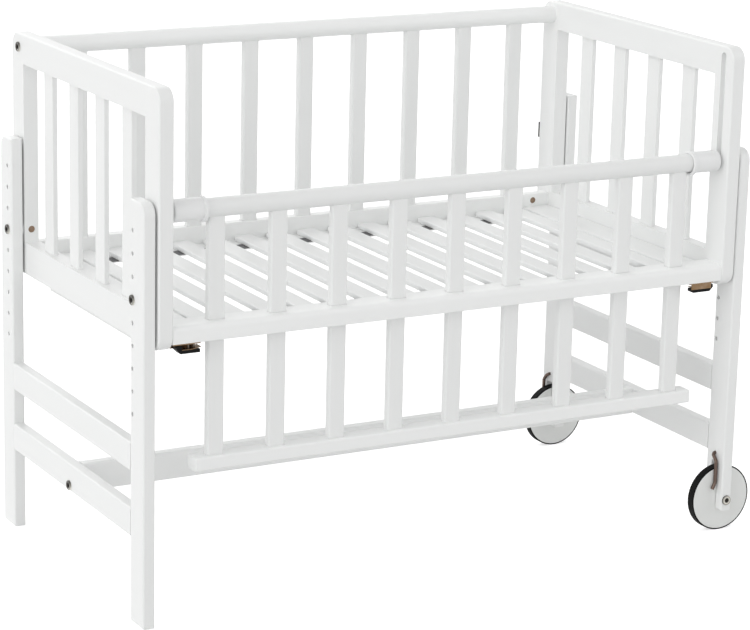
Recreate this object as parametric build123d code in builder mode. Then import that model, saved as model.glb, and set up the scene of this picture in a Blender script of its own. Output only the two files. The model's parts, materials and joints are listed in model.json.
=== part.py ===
from build123d import *
import os

os.makedirs("parts", exist_ok=True)

# Bedside crib with a lowering side, in millimetres. +X runs along the long side
# towards the wheels, +Y from the parent's bed side to the back, +Z up. The
# origin lies on the floor under the middle of the whole crib.

# Cot body: two end panels joined by rails.
body_length = 940.0
body_depth = 525.0
panel_t = 22.0
panel_bottom = 392.0
panel_height = 359.0
panel_corner_r = 20.0
edge_r = 3.0
small_edge_r = 1.5
stile_w = 45.0
end_top_rail_h = 44.0
end_board_h = 49.0
end_slat_w = 32.0
end_slat_t = 8.0
end_slat_count = 4
slat_tongue = 10.0
wood_clear = 0.25

# Slats of the two long sides.
long_slat_w = 25.0
long_slat_t = 13.0
long_slat_aim = 94.0
long_slat_end_gap = 59.5
slat_below_axis = 5.0

# Back side: round top rail, flat lower rail.
round_rail_r = 13.5
back_rail_drop = 20.7
back_rail_inset = 27.0
back_lower_t = 18.0
back_lower_h = 45.0
back_lower_bottom = 393.0

# Fixed front rail that the lowering side slides through.
front_rail_inset = 1.5
front_rail_w = 40.0
front_rail_h = 25.0
front_rail_bottom = 401.0
front_rail_nose_r = 8.0
slide_clear = 0.5

# Lowering side, drawn at the bottom of its travel.
drop_axis_y = 24.0
drop_rail_z = 580.6
drop_travel = 150.0
drop_rail_end_gap = 8.0
drop_bottom_w = 28.0
drop_bottom_h = 20.0
drop_bottom_z = 214.0
drop_bottom_end = 39.0
sleeve_r = 16.0
sleeve_length = 48.5
sleeve_end_gap = 6.0
sleeve_lip_r = 18.5
sleeve_lip_t = 5.0
sleeve_lip_drop = 1.0
sleeve_lip_round = 0.8
sleeve_bore_clear = 0.1
sleeve_mouth_gap = 1.4
sleeve_mouth_depth = 5.0
groove_w = 12.0
groove_depth = 8.0
groove_over = 4.9
pin_side_clear = 0.5
pin_tip_clear = 0.5
pin_in_rail = 26.0

# Mattress base.
base_slat_w = 32.0
base_end_slat_gap = 4.5
base_slat_t = 8.0
base_slat_round = 2.5
base_level = 410.0
base_slat_aim = 54.0
base_slat_end_gap = 0.5
base_front_gap = 1.5
base_back_gap = 0.5
base_back_end_r = 7.0
base_front_end_r = 3.0
batten_h = 8.0
front_batten_w = 28.0
back_batten_w = 28.0
strap_w = 25.0
strap_t = 1.0
end_cleat_t = 25.0
end_cleat_h = 35.0
batten_screw_r = 1.75
batten_screw_head_r = 3.0
batten_screw_head_h = 2.5
batten_screw_hold = 7.0
batten_screw_inset = 72.0
batten_screw_count = 3
back_screw_length = 38.0

# Leg frames.
leg_gap = 3.0
leg_t = 18.0
leg_w = 44.0
leg_inset = 2.5
leg_top = 598.0
leg_corner_r = 18.0
adjust_hole_r = 3.25
adjust_pitch = 32.0
adjust_count = 9
adjust_top_z = 555.8
adjust_used = 3
front_hole_inset = 39.0
back_hole_inset = 30.4
cross_rail_h = 41.0
upper_cross_bottom = 216.5
lower_cross_bottom = 122.5
stretcher_t = 18.0
stretcher_h = 42.0
stretcher_bottom = 121.5
stretcher_bolt_rise = 10.0
stretcher_dowel_rise = 31.0

# Wheels in the forked right legs.
wheel_r = 51.5
wheel_w = 14.0
tyre_t = 2.1
tyre_corner_r = 0.4
tyre_inset = 0.5
disc_edge_r = 0.8
bush_t = 2.0
run_clear = 0.05
fork_bottom = 35.0
fork_slot_w = 16.0
fork_slot_top = 110.0
axle_r = 4.0
axle_head_r = 7.5
axle_head_h = 2.4
axle_nut_w = 13.0
axle_nut_h = 5.0
axle_tip = 1.0
axle_hole_clear = 0.15

# Brake wires on the right legs.
wire_r = 2.7
wire_pivot_z = 123.0
wire_hole_depth = 8.0
wire_hole_over = 0.5
wire_stand_off = 5.0
wire_face_gap = 0.3
wire_step_down = 11.0
wire_foot_z = 78.0
wire_toe_x = 4.5
wire_toe_z = 10.0
wire_bend_r = 5.0

# Furniture bolts and barrel nuts.
bolt_r = 3.0
bolt_hole_r = 3.25
bolt_head_r = 7.2
bolt_head_h = 2.5
bolt_head_round = 1.0
bolt_head_sink_clear = 0.3
socket_w = 5.0
socket_depth = 2.0
bolt_tip_past = 1.5
barrel_r = 5.0
barrel_past = 6.0
barrel_recess = 1.0
barrel_clear = 0.15
thread_clear = 0.05
stile_nut_depth = 11.0
rail_nut_depth = 29.0
lower_rail_bolt_rise = 34.0
lower_rail_dowel_rise = 11.0
front_rail_bolt_inset = 34.0
front_rail_dowel_inset = 13.0
spacer_r = 11.0

# Dowels.
dowel_r = 4.0
dowel_clear = 0.1
dowel_short = 12.0
dowel_long = 20.0
dowel_end_clear = 0.3
dowel_edge = 10.0
panel_dowel_edge = 12.0

# Catches under the fixed front rail.
latch_inset = 0.5
latch_axis_inset = 12.0
right_catch_shift = 5.0
right_plate_shift = 12.5
latch_plate_l = 41.0
latch_plate_w = 18.0
latch_plate_t = 1.5
latch_flange_t = 1.2
latch_flange_h = 8.0
latch_flange_inset = 3.0
catch_inset = 6.5
catch_l = 35.0
catch_w = 15.0
catch_bar_h = 4.7
catch_drop = 14.5
catch_travel = 9.5
catch_nose_l = 8.0
catch_nose_h = 11.5
catch_nose_cut = 6.0
catch_nose_r = 3.0
catch_screw_inset = 27.0
catch_screw_pitch = 8.0
catch_screw_r = 1.75
catch_screw_head_r = 3.2
catch_screw_head_h = 1.8
catch_screw_hold = 8.0
catch_play = 0.4
catch_ledge = 2.4
spring_t = 0.8
spring_w = 14.0
spring_flat_l = 14.0
spring_over = 1.5
spring_rise = 2.4

# Soft buffers on the back of the cot body.
buffer_w = 22.0
buffer_h = 25.0
buffer_t = 4.0
buffer_z = 536.0
buffer_corner_r = 3.0

cut_over = 5.0
pick_near = 0.01

LEFT, RIGHT, FRONT, BACK = -1, 1, -1, 1

# The whole crib reaches from the left bolt heads to the right of the wheels.
reach_left = leg_gap + leg_t + bolt_head_h
reach_right = leg_gap + leg_t / 2 + wheel_r
x_left = -(reach_left + body_length + reach_right) / 2 + reach_left
x_right = x_left + body_length
y_front = -(body_depth + buffer_t) / 2
y_back = y_front + body_depth
y_middle = (y_front + y_back) / 2
x_middle = (x_left + x_right) / 2
panel_top = panel_bottom + panel_height
back_rail_axis_z = panel_top - back_rail_drop
room_x = body_length - 2 * panel_t

# The slats keep near the spacing they aim at, spread evenly over the room they have.
long_slat_span = room_x - 2 * long_slat_end_gap - long_slat_w
long_slat_count = 1 + round(long_slat_span / long_slat_aim)
long_slat_pitch = long_slat_span / (long_slat_count - 1)
base_slat_span = room_x - 2 * base_slat_end_gap - base_slat_w
base_slat_count = 1 + round(base_slat_span / base_slat_aim)
base_slat_pitch = base_slat_span / (base_slat_count - 1)
base_end_slat_w = base_slat_pitch - base_end_slat_gap
batten_screw_pitch = (room_x - 2 * batten_screw_inset) / (batten_screw_count - 1)


def x_in(side, distance):
    """The x that lies a distance inward from an end panel's outer face."""
    return x_left + distance if side == LEFT else x_right - distance


def latch_x(side, distance, right_shift=right_catch_shift):
    """The x of a point of one catch; the right one sits a little further in."""
    shift = right_shift if side == RIGHT else 0
    return x_in(side, panel_t + shift + distance)


def y_in(row, distance):
    """The y that lies a distance inward from the body's front or back."""
    return y_front + distance if row == FRONT else y_back - distance


def block(xs, ys, zs, mode=Mode.ADD):
    """A straight block between three pairs of planes."""
    with BuildSketch(Plane.XY.offset(min(zs))) as outline:
        with Locations((sum(xs) / 2, sum(ys) / 2)):
            Rectangle(abs(xs[1] - xs[0]), abs(ys[1] - ys[0]))
    extrude(outline.sketch, amount=abs(zs[1] - zs[0]), mode=mode)


def rod_x(xs, y, z, r, mode=Mode.ADD):
    """A round rod along X."""
    with BuildSketch(Plane.YZ.offset(min(xs))) as outline:
        with Locations((y, z)):
            Circle(r)
    extrude(outline.sketch, amount=abs(xs[1] - xs[0]), mode=mode)


def rod_y(x, ys, z, r, mode=Mode.ADD):
    """A round rod along Y."""
    with BuildSketch(Plane.XZ.offset(-max(ys))) as outline:
        with Locations((x, z)):
            Circle(r)
    extrude(outline.sketch, amount=abs(ys[1] - ys[0]), mode=mode)


def rod_z(x, y, zs, r, mode=Mode.ADD):
    """A round rod along Z."""
    with BuildSketch(Plane.XY.offset(min(zs))) as outline:
        with Locations((x, y)):
            Circle(r)
    extrude(outline.sketch, amount=abs(zs[1] - zs[0]), mode=mode)


def bolt(seat, head_r, head_h, shank_r, shank_l, hex_w, hex_d):
    """A flat-headed bolt whose seat plane faces along its shank."""
    with BuildSketch(seat) as shank:
        Circle(shank_r)
    extrude(shank.sketch, amount=shank_l)
    with BuildSketch(seat) as head:
        Circle(head_r)
    extrude(head.sketch, amount=-head_h)
    rims = edges(Select.LAST).filter_by(GeomType.CIRCLE)
    fillet(rims.sort_by_distance(seat.origin)[-1], min(bolt_head_round, head_h / 2))
    with BuildSketch(seat.offset(-head_h)) as socket:
        RegularPolygon(hex_w / 2, 6, major_radius=False)
    extrude(socket.sketch, amount=hex_d, mode=Mode.SUBTRACT)


def seat_x(side, x, y, z):
    """A plane for a bolt that points into the crib from one end."""
    return Plane(origin=(x, y, z), z_dir=(-side, 0, 0))


def thread_x(x, y, z):
    """The threaded bore of a barrel nut, along X."""
    half = barrel_r + cut_over
    rod_x((x - half, x + half), y, z, bolt_r + thread_clear, Mode.SUBTRACT)


def slat_xs():
    """The middles of the slats in a long side."""
    first = x_middle - long_slat_pitch * (long_slat_count - 1) / 2
    return [first + long_slat_pitch * i for i in range(long_slat_count)]


def end_slat_ys():
    """The middles of the slats in an end panel, evenly spaced between the stiles."""
    room = body_depth - 2 * stile_w
    gap = (room - end_slat_count * end_slat_w) / (end_slat_count + 1)
    first = y_front + stile_w + gap + end_slat_w / 2
    return [first + (gap + end_slat_w) * i for i in range(end_slat_count)]


# Places that several pieces share.
leg_x_near = -leg_gap
leg_x_far = -(leg_gap + leg_t)
leg_x_mid = (leg_x_near + leg_x_far) / 2
leg_bolt_z = adjust_top_z - adjust_pitch * adjust_used
leg_face_in = leg_inset + leg_w
leg_y_mid = leg_inset + leg_w / 2
hole_inset = {FRONT: front_hole_inset, BACK: back_hole_inset}
axle_z = wheel_r
back_rail_y = y_back - back_rail_inset
drop_y = y_front + drop_axis_y
lower_bolt_z = back_lower_bottom + lower_rail_bolt_rise
lower_dowel_z = back_lower_bottom + lower_rail_dowel_rise
front_bolt_y = y_front + front_rail_bolt_inset
front_dowel_y = y_front + front_rail_dowel_inset
front_rail_mid_z = front_rail_bottom + front_rail_h / 2
front_rail_back = front_rail_inset + front_rail_w
board_dowel_zs = [panel_bottom + panel_dowel_edge, panel_bottom + end_board_h - panel_dowel_edge]
top_dowel_zs = [panel_top - end_top_rail_h + panel_dowel_edge, panel_top - panel_dowel_edge]
panel_dowel_zs = board_dowel_zs + top_dowel_zs
cross_dowel_zs = [
    bottom + rise
    for bottom in (upper_cross_bottom, lower_cross_bottom)
    for rise in (dowel_edge, cross_rail_h - dowel_edge)
]
stretcher_bolt_z = stretcher_bottom + stretcher_bolt_rise
stretcher_dowel_z = stretcher_bottom + stretcher_dowel_rise
pin_r = groove_w / 2 - pin_side_clear
groove_low = drop_rail_z - groove_w / 2
groove_high = drop_rail_z + drop_travel + groove_w / 2 + groove_over
wire_y = leg_y_mid - wheel_w / 2 - wire_face_gap - wire_r
catch_bottom = front_rail_bottom - catch_drop
screw_xs = [
    x_left + panel_t + batten_screw_inset + batten_screw_pitch * i
    for i in range(batten_screw_count)
]
batten_screw_z = base_level - batten_h / 2
catch_top = catch_bottom + catch_bar_h
latch_y = y_front + latch_axis_inset


def make_leg(side, row):
    """One leg: nine height holes, and on the right a fork for the wheel."""
    foot = fork_bottom if side == RIGHT else 0
    with BuildPart() as leg:
        xs = (x_in(side, leg_x_near), x_in(side, leg_x_far))
        block(xs, (y_in(row, leg_inset), y_in(row, leg_face_in)), (foot, leg_top))
        tops = leg.edges().filter_by(Axis.X).group_by(Axis.Z)[-1].sort_by(Axis.Y)
        fillet(tops[0] if row == FRONT else tops[-1], leg_corner_r)
        fillet(leg.faces().filter_by(Axis.X).edges(), edge_r)
        through = (min(xs) - cut_over, max(xs) + cut_over)
        for i in range(adjust_count):
            rod_x(through, y_in(row, hole_inset[row]), adjust_top_z - adjust_pitch * i,
                  adjust_hole_r, Mode.SUBTRACT)
        deep = (leg_face_in - dowel_short - dowel_end_clear, leg_face_in + cut_over)
        for z in cross_dowel_zs:
            rod_y(x_in(side, leg_x_mid), (y_in(row, deep[0]), y_in(row, deep[1])), z,
                  dowel_r + dowel_clear, Mode.SUBTRACT)
        if side == RIGHT:
            half = fork_slot_w / 2
            ys = (y_in(row, leg_y_mid - half), y_in(row, leg_y_mid + half))
            block(through, ys, (fork_bottom - cut_over, fork_slot_top), Mode.SUBTRACT)
            across = (y_in(row, leg_inset - cut_over), y_in(row, leg_face_in + cut_over))
            rod_y(x_in(side, leg_x_mid), across, axle_z, axle_r + axle_hole_clear,
                  Mode.SUBTRACT)
            near = x_in(side, leg_x_near)
            rod_x((near - cut_over, near + wire_hole_depth + wire_hole_over),
                  y_in(row, leg_y_mid), wire_pivot_z, wire_r + run_clear, Mode.SUBTRACT)
    return leg


def make_cross_rail(side, bottom):
    """A cross rail between the front and back leg of one frame."""
    with BuildPart() as rail:
        xs = (x_in(side, leg_x_near), x_in(side, leg_x_far))
        ys = (y_in(FRONT, leg_face_in), y_in(BACK, leg_face_in))
        block(xs, ys, (bottom, bottom + cross_rail_h))
        fillet(rail.edges().filter_by(Axis.Y), edge_r)
        for row in (FRONT, BACK):
            deep = (leg_face_in - cut_over, leg_face_in + dowel_long + dowel_end_clear)
            for rise in (dowel_edge, cross_rail_h - dowel_edge):
                rod_y(x_in(side, leg_x_mid), (y_in(row, deep[0]), y_in(row, deep[1])),
                      bottom + rise, dowel_r + dowel_clear, Mode.SUBTRACT)
        if bottom == lower_cross_bottom:
            near = x_in(side, leg_x_near)
            rod_x((near - side * cut_over, near + side * (leg_t + cut_over)), y_middle,
                  stretcher_bolt_z, bolt_hole_r, Mode.SUBTRACT)
            rod_x((near - side * cut_over, near + side * (dowel_short + dowel_end_clear)),
                  y_middle, stretcher_dowel_z, dowel_r + dowel_clear, Mode.SUBTRACT)
    return rail


def make_stile(side, row):
    """An upright of an end panel; the front one has the guide groove."""
    with BuildPart() as stile:
        xs = (x_in(side, 0), x_in(side, panel_t))
        block(xs, (y_in(row, 0), y_in(row, stile_w)), (panel_bottom, panel_top))
        corners = stile.edges().filter_by(Axis.X).group_by(Axis.Y)
        fillet(corners[0] if row == FRONT else corners[-1], panel_corner_r)
        rim = stile.faces().filter_by(Axis.X).edges()
        seam = y_in(row, stile_w)
        fillet([e for e in rim if abs(e.center().Y - seam) > pick_near], edge_r)
        # Dowels and bolt of the panel's own rails and of the leg.
        for z in panel_dowel_zs:
            deep = (stile_w - dowel_short - dowel_end_clear, stile_w + cut_over)
            rod_y(x_in(side, panel_t / 2), (y_in(row, deep[0]), y_in(row, deep[1])), z,
                  dowel_r + dowel_clear, Mode.SUBTRACT)
        bolt_y = y_in(row, hole_inset[row])
        blind = stile_nut_depth + barrel_r + bolt_tip_past + barrel_clear
        rod_x((x_in(side, -cut_over), x_in(side, blind)), bolt_y, leg_bolt_z, bolt_hole_r,
              Mode.SUBTRACT)
        nut_end = hole_inset[row] - barrel_past - barrel_clear
        rod_y(x_in(side, stile_nut_depth), (y_in(row, nut_end), y_in(row, stile_w + cut_over)),
              leg_bolt_z, barrel_r + barrel_clear, Mode.SUBTRACT)
        # Bolts and dowel of the long rails.
        low_y = front_bolt_y if row == FRONT else back_rail_y
        low_z = front_rail_mid_z if row == FRONT else lower_bolt_z
        through = (x_in(side, -cut_over), x_in(side, panel_t + cut_over))
        rod_x(through, low_y, low_z, bolt_hole_r, Mode.SUBTRACT)
        rod_x((x_in(side, -cut_over), x_in(side, bolt_head_h)), low_y, low_z,
              bolt_head_r + bolt_head_sink_clear, Mode.SUBTRACT)
        peg_y = front_dowel_y if row == FRONT else back_rail_y
        peg_z = front_rail_mid_z if row == FRONT else lower_dowel_z
        rod_x((x_in(side, panel_t + cut_over), x_in(side, panel_t - dowel_short - dowel_end_clear)),
              peg_y, peg_z, dowel_r + dowel_clear, Mode.SUBTRACT)
        if row == BACK:
            rod_x(through, back_rail_y, back_rail_axis_z, bolt_hole_r, Mode.SUBTRACT)
        else:
            with BuildSketch(Plane.YZ.offset(x_in(side, panel_t - groove_depth))) as groove:
                with Locations((drop_y, (groove_low + groove_high) / 2)):
                    SlotOverall(groove_high - groove_low, groove_w, rotation=90)
            extrude(groove.sketch, amount=-side * (groove_depth + cut_over), mode=Mode.SUBTRACT)
    return stile


def make_end_rail(side, zs, edge_z, mortise_zs):
    """A rail of an end panel, with its slat mortises and dowel holes."""
    with BuildPart() as rail:
        xs = (x_in(side, 0), x_in(side, panel_t))
        block(xs, (y_in(FRONT, stile_w), y_in(BACK, stile_w)), zs)
        long_edges = rail.edges().filter_by(Axis.Y)
        fillet([e for e in long_edges if abs(e.center().Z - edge_z) < pick_near], edge_r)
        half_w, half_t = end_slat_w / 2 + wood_clear, end_slat_t / 2 + wood_clear
        middle = x_in(side, panel_t / 2)
        for y in end_slat_ys():
            block((middle - half_t, middle + half_t), (y - half_w, y + half_w), mortise_zs,
                  Mode.SUBTRACT)
        for row in (FRONT, BACK):
            deep = (stile_w - cut_over, stile_w + dowel_long + dowel_end_clear)
            for z in (min(zs) + panel_dowel_edge, max(zs) - panel_dowel_edge):
                rod_y(middle, (y_in(row, deep[0]), y_in(row, deep[1])), z,
                      dowel_r + dowel_clear, Mode.SUBTRACT)
    return rail


def make_top_rail(side):
    zs = (panel_top - end_top_rail_h, panel_top)
    return make_end_rail(side, zs, panel_top,
                         (zs[0] - cut_over, zs[0] + slat_tongue + wood_clear))


def make_lower_board(side):
    zs = (panel_bottom, panel_bottom + end_board_h)
    return make_end_rail(side, zs, panel_bottom, (zs[1] - slat_tongue, zs[1] + cut_over))


def make_end_slats(side):
    """The slats of one end panel, resting in the lower board's mortises."""
    with BuildPart() as slats:
        middle = x_in(side, panel_t / 2)
        xs = (middle - end_slat_t / 2, middle + end_slat_t / 2)
        low = panel_bottom + end_board_h - slat_tongue
        high = panel_top - end_top_rail_h + slat_tongue
        for y in end_slat_ys():
            block(xs, (y - end_slat_w / 2, y + end_slat_w / 2), (low, high))
        fillet(slats.edges().filter_by(Axis.Z), small_edge_r)
    return slats


def make_long_slats(y, low, high):
    """The slats of a long side."""
    with BuildPart() as slats:
        ys = (y - long_slat_t / 2, y + long_slat_t / 2)
        for x in slat_xs():
            block((x - long_slat_w / 2, x + long_slat_w / 2), ys, (low, high))
        fillet(slats.edges().filter_by(Axis.Z), edge_r)
    return slats


def cut_long_slats(y, zs, gap):
    """Mortises for the slats of a long side."""
    half_w, half_t = long_slat_w / 2 + gap, long_slat_t / 2 + gap
    for x in slat_xs():
        block((x - half_w, x + half_w), (y - half_t, y + half_t), zs, Mode.SUBTRACT)


# Leg frames.
left_leg_front = make_leg(LEFT, FRONT)
left_leg_back = make_leg(LEFT, BACK)
right_leg_front = make_leg(RIGHT, FRONT)
right_leg_back = make_leg(RIGHT, BACK)
left_upper_cross_rail = make_cross_rail(LEFT, upper_cross_bottom)
left_lower_cross_rail = make_cross_rail(LEFT, lower_cross_bottom)
right_upper_cross_rail = make_cross_rail(RIGHT, upper_cross_bottom)
right_lower_cross_rail = make_cross_rail(RIGHT, lower_cross_bottom)

stretcher_end = leg_x_near
with BuildPart() as stretcher:
    ys = (y_middle - stretcher_t / 2, y_middle + stretcher_t / 2)
    block((x_in(LEFT, stretcher_end), x_in(RIGHT, stretcher_end)), ys,
          (stretcher_bottom, stretcher_bottom + stretcher_h))
    fillet(stretcher.edges().filter_by(Axis.X), edge_r)
    for side in (LEFT, RIGHT):
        nut_x = stretcher_end + rail_nut_depth
        tip = nut_x + barrel_r + bolt_tip_past + barrel_clear
        rod_x((x_in(side, stretcher_end - cut_over), x_in(side, tip)), y_middle,
              stretcher_bolt_z, bolt_hole_r, Mode.SUBTRACT)
        rod_y(x_in(side, nut_x), (y_middle - barrel_past - barrel_clear, max(ys) + cut_over),
              stretcher_bolt_z, barrel_r + barrel_clear, Mode.SUBTRACT)
        deep = stretcher_end + dowel_long + dowel_end_clear
        rod_x((x_in(side, stretcher_end - cut_over), x_in(side, deep)), y_middle,
              stretcher_dowel_z, dowel_r + dowel_clear, Mode.SUBTRACT)

# End panels.
left_front_stile = make_stile(LEFT, FRONT)
left_back_stile = make_stile(LEFT, BACK)
right_front_stile = make_stile(RIGHT, FRONT)
right_back_stile = make_stile(RIGHT, BACK)
left_top_rail = make_top_rail(LEFT)
right_top_rail = make_top_rail(RIGHT)
left_lower_board = make_lower_board(LEFT)
right_lower_board = make_lower_board(RIGHT)
left_end_slats = make_end_slats(LEFT)
right_end_slats = make_end_slats(RIGHT)

# Back side.
with BuildPart() as back_top_rail:
    rod_x((x_in(LEFT, panel_t), x_in(RIGHT, panel_t)), back_rail_y, back_rail_axis_z, round_rail_r)
    back_slat_top = back_rail_axis_z - slat_below_axis
    cut_long_slats(back_rail_y, (back_rail_axis_z - round_rail_r - cut_over,
                                 back_slat_top + wood_clear), wood_clear)
    for side in (LEFT, RIGHT):
        nut_x = panel_t + rail_nut_depth
        tip = nut_x + barrel_r + bolt_tip_past + barrel_clear
        rod_x((x_in(side, panel_t - cut_over), x_in(side, tip)), back_rail_y, back_rail_axis_z,
              bolt_hole_r, Mode.SUBTRACT)
        top = back_rail_axis_z + barrel_past + barrel_clear
        rod_z(x_in(side, nut_x), back_rail_y, (back_rail_axis_z - round_rail_r - cut_over, top),
              barrel_r + barrel_clear, Mode.SUBTRACT)

with BuildPart() as back_lower_rail:
    ys = (back_rail_y - back_lower_t / 2, back_rail_y + back_lower_t / 2)
    lower_top = back_lower_bottom + back_lower_h
    block((x_in(LEFT, panel_t), x_in(RIGHT, panel_t)), ys, (back_lower_bottom, lower_top))
    fillet(back_lower_rail.edges().filter_by(Axis.X), small_edge_r)
    cut_long_slats(back_rail_y, (lower_top - slat_tongue, lower_top + cut_over), wood_clear)
    for side in (LEFT, RIGHT):
        nut_x = panel_t + rail_nut_depth
        tip = nut_x + barrel_r + bolt_tip_past + barrel_clear
        rod_x((x_in(side, panel_t - cut_over), x_in(side, tip)), back_rail_y, lower_bolt_z,
              bolt_hole_r, Mode.SUBTRACT)
        deep = back_rail_y + barrel_past + barrel_clear
        rod_y(x_in(side, nut_x), (min(ys) - cut_over, deep), lower_bolt_z,
              barrel_r + barrel_clear, Mode.SUBTRACT)
        rod_x((x_in(side, panel_t - cut_over), x_in(side, panel_t + dowel_long + dowel_end_clear)),
              back_rail_y, lower_dowel_z, dowel_r + dowel_clear, Mode.SUBTRACT)
    for x in screw_xs:
        rod_y(x, (min(ys) - cut_over, max(ys) + cut_over), batten_screw_z,
              batten_screw_r + wood_clear, Mode.SUBTRACT)
        rod_y(x, (max(ys) - batten_screw_head_h, max(ys) + cut_over), batten_screw_z,
              batten_screw_head_r + wood_clear, Mode.SUBTRACT)

back_slats = make_long_slats(back_rail_y, back_lower_bottom + back_lower_h - slat_tongue,
                             back_slat_top)

# Fixed front rail.
with BuildPart() as front_fixed_rail:
    ys = (y_in(FRONT, front_rail_inset), y_in(FRONT, front_rail_back))
    front_rail_top = front_rail_bottom + front_rail_h
    block((x_in(LEFT, panel_t), x_in(RIGHT, panel_t)), ys, (front_rail_bottom, front_rail_top))
    runs = front_fixed_rail.edges().filter_by(Axis.X)
    nose = runs.group_by(Axis.Y)[0].sort_by(Axis.Z)[-1]
    fillet(nose, front_rail_nose_r)
    runs = front_fixed_rail.edges().filter_by(Axis.X)
    lower_front = runs.group_by(Axis.Z)[0].sort_by(Axis.Y)[0]
    upper_back = runs.group_by(Axis.Z)[-1].sort_by(Axis.Y)[-1]
    fillet([lower_front, upper_back], small_edge_r)
    cut_long_slats(drop_y, (front_rail_bottom - cut_over, front_rail_top + cut_over), slide_clear)
    for side in (LEFT, RIGHT):
        nut_x = panel_t + rail_nut_depth
        tip = nut_x + barrel_r + bolt_tip_past + barrel_clear
        rod_x((x_in(side, panel_t - cut_over), x_in(side, tip)), front_bolt_y, front_rail_mid_z,
              bolt_hole_r, Mode.SUBTRACT)
        top = front_rail_mid_z + barrel_past + barrel_clear
        rod_z(x_in(side, nut_x), front_bolt_y, (front_rail_bottom - cut_over, top),
              barrel_r + barrel_clear, Mode.SUBTRACT)
        rod_x((x_in(side, panel_t - cut_over), x_in(side, panel_t + dowel_long + dowel_end_clear)),
              front_dowel_y, front_rail_mid_z, dowel_r + dowel_clear, Mode.SUBTRACT)
        for i in range(2):
            x = latch_x(side, catch_screw_inset + catch_screw_pitch * i)
            rod_z(x, latch_y, (front_rail_bottom - cut_over,
                               front_rail_bottom + catch_screw_hold + wood_clear),
                  catch_screw_r + thread_clear, Mode.SUBTRACT)
    for x in screw_xs:
        rod_y(x, (max(ys) - batten_screw_hold - wood_clear, max(ys) + cut_over), batten_screw_z,
              batten_screw_r + thread_clear, Mode.SUBTRACT)

# Lowering side.
drop_slat_top = drop_rail_z - slat_below_axis
drop_slat_low = drop_bottom_z + drop_bottom_h - slat_tongue
drop_slats = make_long_slats(drop_y, drop_slat_low, drop_slat_top)
rail_end = panel_t + drop_rail_end_gap

with BuildPart() as drop_top_rail:
    rod_x((x_in(LEFT, rail_end), x_in(RIGHT, rail_end)), drop_y, drop_rail_z, round_rail_r)
    cut_long_slats(drop_y, (drop_rail_z - round_rail_r - cut_over, drop_slat_top + wood_clear),
                   wood_clear)
    for side in (LEFT, RIGHT):
        deep = rail_end + pin_in_rail + wood_clear
        rod_x((x_in(side, rail_end - cut_over), x_in(side, deep)), drop_y, drop_rail_z,
              pin_r + sleeve_bore_clear, Mode.SUBTRACT)

with BuildPart() as drop_bottom_rail:
    end = panel_t + drop_bottom_end
    ys = (drop_y - drop_bottom_w / 2, drop_y + drop_bottom_w / 2)
    top = drop_bottom_z + drop_bottom_h
    block((x_in(LEFT, end), x_in(RIGHT, end)), ys, (drop_bottom_z, top))
    fillet(drop_bottom_rail.edges().filter_by(Axis.X), edge_r)
    fillet(drop_bottom_rail.faces().filter_by(Axis.X).edges(), small_edge_r)
    cut_long_slats(drop_y, (drop_slat_low, top + cut_over), wood_clear)

with BuildPart() as drop_guide_pins:
    for side in (LEFT, RIGHT):
        tip = panel_t - groove_depth + pin_tip_clear
        rod_x((x_in(side, tip), x_in(side, rail_end + pin_in_rail)), drop_y, drop_rail_z, pin_r)


def make_sleeve(side):
    """A plastic end sleeve of the lowering rail, closed at its outer end."""
    with BuildPart() as sleeve:
        outer = panel_t + sleeve_end_gap
        inner = outer + sleeve_length
        rod_x((x_in(side, outer), x_in(side, inner)), drop_y, drop_rail_z, sleeve_r)
        rims = sleeve.edges().filter_by(GeomType.CIRCLE).sort_by(Axis.X)
        fillet(rims[0] if side == LEFT else rims[-1], small_edge_r)
        lip_z = drop_rail_z - sleeve_lip_drop
        rod_x((x_in(side, inner - sleeve_lip_t), x_in(side, inner)), drop_y, lip_z, sleeve_lip_r)
        lips = [e for e in sleeve.edges().filter_by(GeomType.CIRCLE)
                if abs(e.radius - sleeve_lip_r) < pick_near]
        fillet(lips, sleeve_lip_round)
        rod_x((x_in(side, rail_end), x_in(side, inner + cut_over)), drop_y, drop_rail_z,
              round_rail_r + sleeve_bore_clear, Mode.SUBTRACT)
        rod_x((x_in(side, inner - sleeve_mouth_depth), x_in(side, inner + cut_over)), drop_y,
              lip_z, round_rail_r + sleeve_mouth_gap, Mode.SUBTRACT)
        rod_x((x_in(side, outer - cut_over), x_in(side, rail_end + cut_over)), drop_y,
              drop_rail_z, pin_r + sleeve_bore_clear, Mode.SUBTRACT)
    return sleeve


drop_sleeve_left = make_sleeve(LEFT)
drop_sleeve_right = make_sleeve(RIGHT)

# Mattress base: two battens, a row of slats and the straps that join them.
front_batten_ys = (y_in(FRONT, front_rail_back), y_in(FRONT, front_rail_back + front_batten_w))
back_lower_face = back_rail_y - back_lower_t / 2
back_batten_ys = (back_lower_face - back_batten_w, back_lower_face)
batten_zs = (base_level - batten_h, base_level)

with BuildPart() as base_front_batten:
    block((x_in(LEFT, panel_t), x_in(RIGHT, panel_t)), front_batten_ys, batten_zs)
    for x in screw_xs:
        ys = (min(front_batten_ys) - cut_over, max(front_batten_ys) + cut_over)
        rod_y(x, ys, batten_screw_z, batten_screw_r + wood_clear, Mode.SUBTRACT)
        rod_y(x, (max(front_batten_ys) - batten_screw_head_h, ys[1]), batten_screw_z,
              batten_screw_head_r + wood_clear, Mode.SUBTRACT)

with BuildPart() as base_back_batten:
    block((x_in(LEFT, panel_t), x_in(RIGHT, panel_t)), back_batten_ys, batten_zs)
    screw_end = back_rail_y + back_lower_t / 2 - batten_screw_head_h - back_screw_length
    for x in screw_xs:
        rod_y(x, (screw_end - wood_clear, max(back_batten_ys) + cut_over), batten_screw_z,
              batten_screw_r + thread_clear, Mode.SUBTRACT)

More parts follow.
